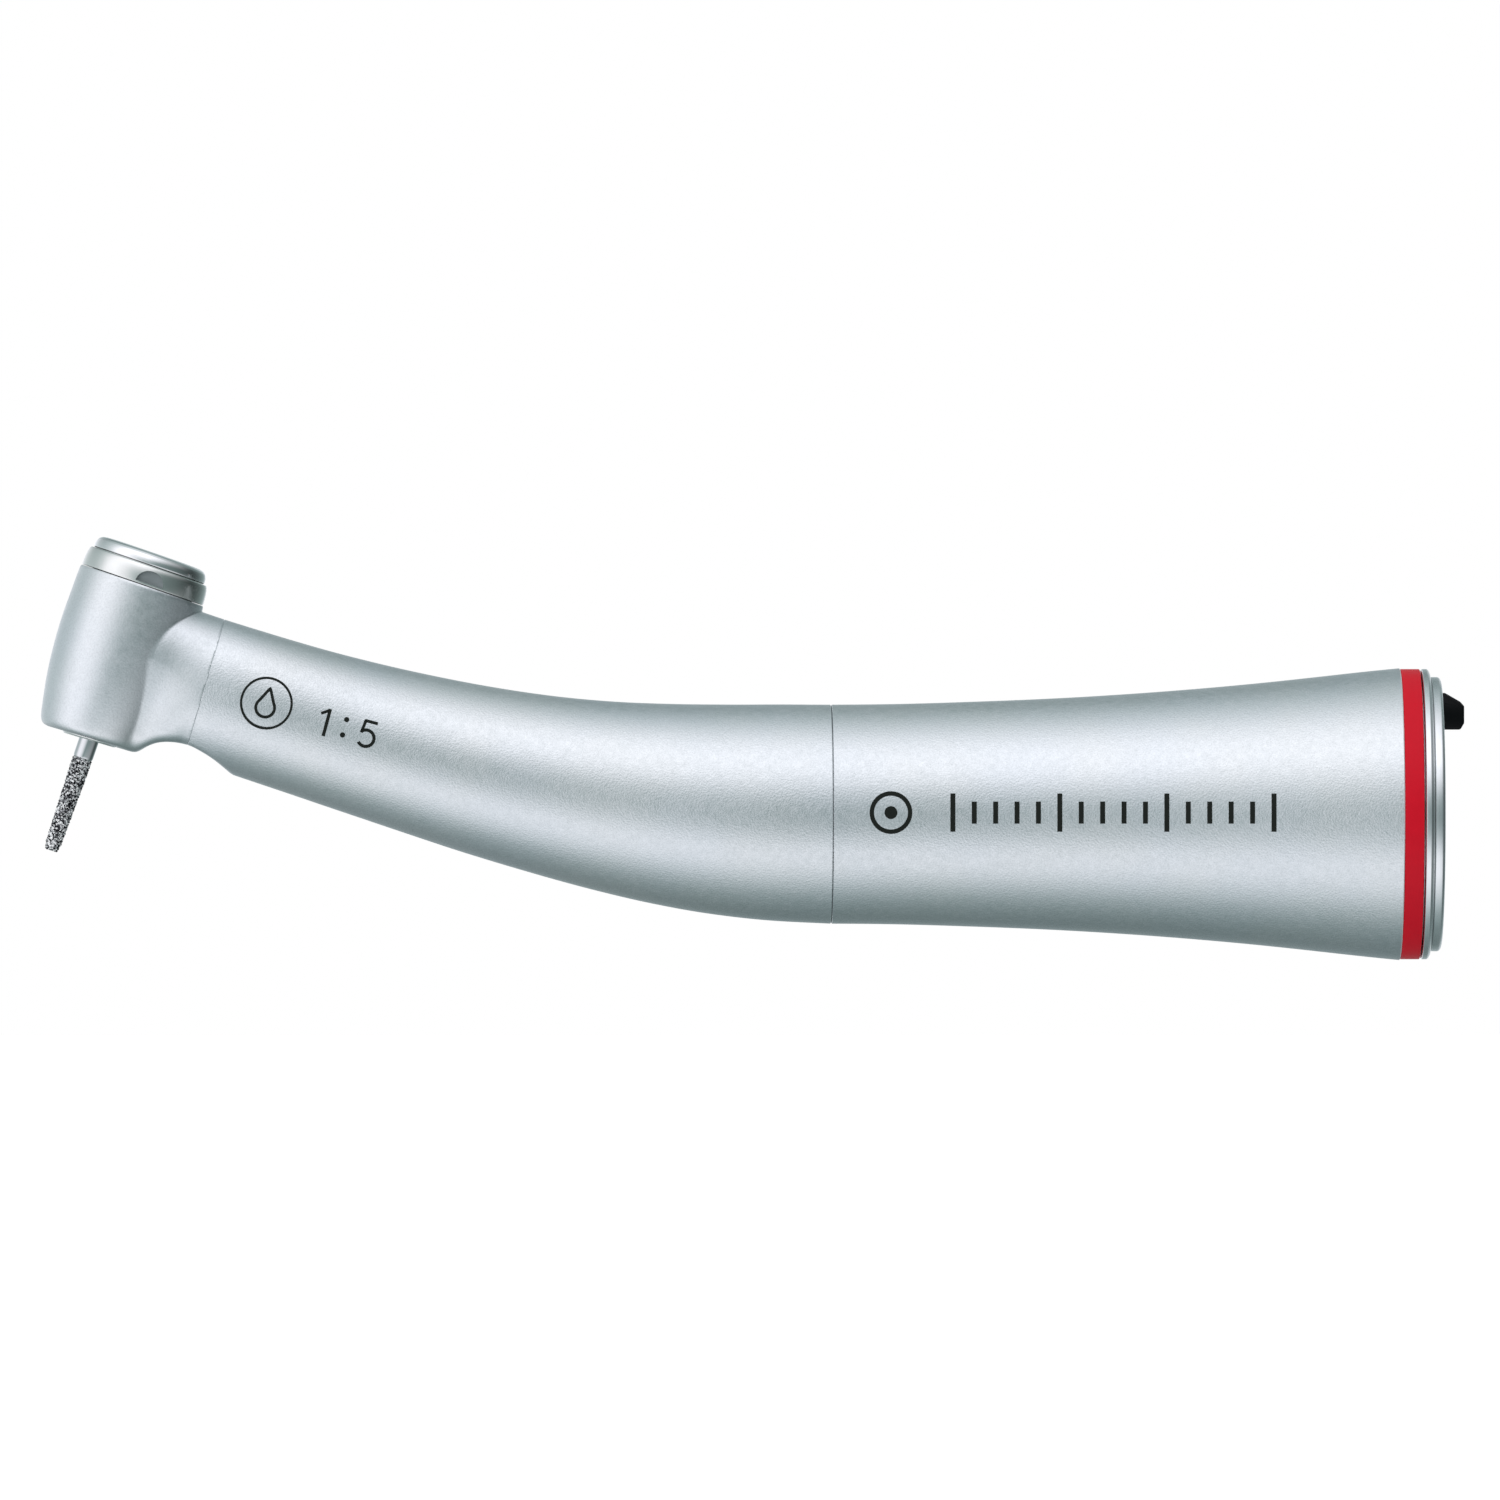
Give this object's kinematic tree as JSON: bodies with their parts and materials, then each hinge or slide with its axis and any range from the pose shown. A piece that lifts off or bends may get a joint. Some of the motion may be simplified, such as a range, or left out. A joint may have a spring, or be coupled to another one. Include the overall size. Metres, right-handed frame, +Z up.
{
  "type": "contra angle handpiece",
  "caption": "Dental contra-angle handpiece: bent tapered metal body, drop head with push-button chuck and diamond bur, rear socket for a micromotor.",
  "frame": {"origin": "centre of the drive dog's flat end face, on the drive axis, 18 mm inside the rear socket", "axes": "+X along the drive axis towards the motor, +Z up (away from the bur's side), +Y across; the head is at -X and leans 19 degrees"},
  "size_m": [0.0968, 0.0198, 0.0287],
  "materials": {
    "black_peg": "glossy black",
    "ceramic": "polished ceramic balls in a moulded cage",
    "diamond_grit": "nickel-bonded diamond grit on a polished steel shank",
    "gear_steel": "hardened ground gear steel",
    "light_glass": "clear fused glass rod",
    "polished_steel": "mirror-polished stainless steel",
    "red_ring": "semi-gloss anodised-look red",
    "rubber": "matt black elastomer",
    "satin_titanium": "satin micro-textured coated titanium",
    "spring_steel": "drawn spring wire",
    "turned_steel": "fine-turned stainless steel"
  },
  "bodies": {
    "handpiece_body": {"air_tube": "turned_steel", "button_spring": "spring_steel", "cap_ring": "polished_steel", "colour_ring": "red_ring", "drive_front_bearing_outer_race": "turned_steel", "drive_rear_bearing_outer_race": "turned_steel", "end_ring": "polished_steel", "front_shaft_front_bearing_outer_race": "turned_steel", "front_shaft_rear_bearing_outer_race": "turned_steel", "front_shaft_sleeve": "turned_steel", "head_casing": "satin_titanium", "head_lower_bearing_outer_race": "turned_steel", "head_upper_bearing_outer_race": "turned_steel", "joint_sleeve": "turned_steel", "light_guide": "light_glass", "locating_peg": "black_peg", "lower_damper_ring": "rubber", "mid_bearing_carrier": "turned_steel", "mid_front_bearing_outer_race": "turned_steel", "mid_rear_bearing_outer_race": "turned_steel", "neck_sheath": "satin_titanium", "nozzle_ring": "polished_steel", "preload_washer": "turned_steel", "rear_frame": "turned_steel", "rear_sheath": "satin_titanium", "upper_damper_ring": "rubber", "water_tube": "turned_steel"},
    "drive_shaft_set": {"drive_shaft": "turned_steel", "bell_gear": "gear_steel", "drive_dog": "turned_steel", "drive_front_bearing_inner_race": "turned_steel", "drive_rear_bearing_inner_race": "turned_steel"},
    "drive_balls_set": {"drive_front_bearing_balls": "ceramic", "drive_rear_bearing_balls": "ceramic"},
    "mid_shaft_set": {"mid_shaft": "turned_steel", "mid_knuckle_gear": "gear_steel", "mid_front_bearing_inner_race": "turned_steel", "mid_rear_bearing_inner_race": "turned_steel"},
    "mid_balls_set": {"mid_front_bearing_balls": "ceramic", "mid_rear_bearing_balls": "ceramic"},
    "front_shaft_set": {"front_shaft": "turned_steel", "front_knuckle_gear": "gear_steel", "crown_gear": "gear_steel", "front_shaft_front_bearing_inner_race": "turned_steel", "front_shaft_rear_bearing_inner_race": "turned_steel"},
    "front_balls_set": {"front_shaft_front_bearing_balls": "ceramic", "front_shaft_rear_bearing_balls": "ceramic"},
    "spindle_set": {"spindle": "turned_steel", "chuck_collet": "turned_steel", "head_upper_bearing_inner_race": "turned_steel", "head_lower_bearing_inner_race": "turned_steel"},
    "spindle_balls_set": {"head_upper_bearing_balls": "ceramic", "head_lower_bearing_balls": "ceramic"},
    "plunger": {"chuck_plunger": "turned_steel"},
    "bur": {"diamond_bur": "diamond_grit"},
    "button": {"push_button": "polished_steel"}
  },
  "joints": [
    {"name": "drive_spin", "type": "hinge", "parent": "handpiece_body", "child": "drive_shaft_set", "pos_m": [0, 0, 0], "axis": [1, 0, 0], "continuous": true},
    {"name": "drive_balls_spin", "type": "hinge", "parent": "handpiece_body", "child": "drive_balls_set", "pos_m": [0, 0, 0], "axis": [1, 0, 0], "continuous": true},
    {"name": "mid_spin", "type": "hinge", "parent": "handpiece_body", "child": "mid_shaft_set", "pos_m": [-0.05, 0, 0.0024], "axis": [1, 0, 0], "continuous": true},
    {"name": "mid_balls_spin", "type": "hinge", "parent": "handpiece_body", "child": "mid_balls_set", "pos_m": [-0.05, 0, 0.0024], "axis": [1, 0, 0], "continuous": true},
    {"name": "front_spin", "type": "hinge", "parent": "handpiece_body", "child": "front_shaft_set", "pos_m": [-0.07234, 0, 0.01038], "axis": [0.9455, 0, -0.3256], "continuous": true},
    {"name": "front_balls_spin", "type": "hinge", "parent": "handpiece_body", "child": "front_balls_set", "pos_m": [-0.07234, 0, 0.01038], "axis": [0.9455, 0, -0.3256], "continuous": true},
    {"name": "spindle_spin", "type": "hinge", "parent": "handpiece_body", "child": "spindle_set", "pos_m": [-0.07234, 0, 0.01038], "axis": [0.3256, 0, 0.9455], "continuous": true},
    {"name": "spindle_balls_spin", "type": "hinge", "parent": "handpiece_body", "child": "spindle_balls_set", "pos_m": [-0.07234, 0, 0.01038], "axis": [0.3256, 0, 0.9455], "continuous": true},
    {"name": "button_press", "type": "slide", "parent": "handpiece_body", "child": "button", "axis": [-0.3256, 0, -0.9455], "range_m": [0, 0.0006], "deforming": ["button_spring"]},
    {"name": "plunger_slide", "type": "slide", "parent": "spindle_set", "child": "plunger", "axis": [-0.3256, 0, -0.9455], "range_m": [0, 0.0004]},
    {"name": "bur_release", "type": "slide", "parent": "spindle_set", "child": "bur", "axis": [-0.3256, 0, -0.9455], "range_m": [0, 0.0115]}
  ],
  "couplings": [
    {"joint": "drive_balls_spin", "follows": "drive_spin", "ratio": 0.4},
    {"joint": "mid_spin", "follows": "drive_spin", "ratio": 2.6667},
    {"joint": "mid_balls_spin", "follows": "drive_spin", "ratio": 1.0667},
    {"joint": "front_spin", "follows": "drive_spin", "ratio": 2.6667},
    {"joint": "front_balls_spin", "follows": "drive_spin", "ratio": 1.0667},
    {"joint": "spindle_spin", "follows": "drive_spin", "ratio": -5},
    {"joint": "spindle_balls_spin", "follows": "drive_spin", "ratio": -2},
    {"joint": "plunger_slide", "follows": "button_press", "ratio": 0.65}
  ]
}
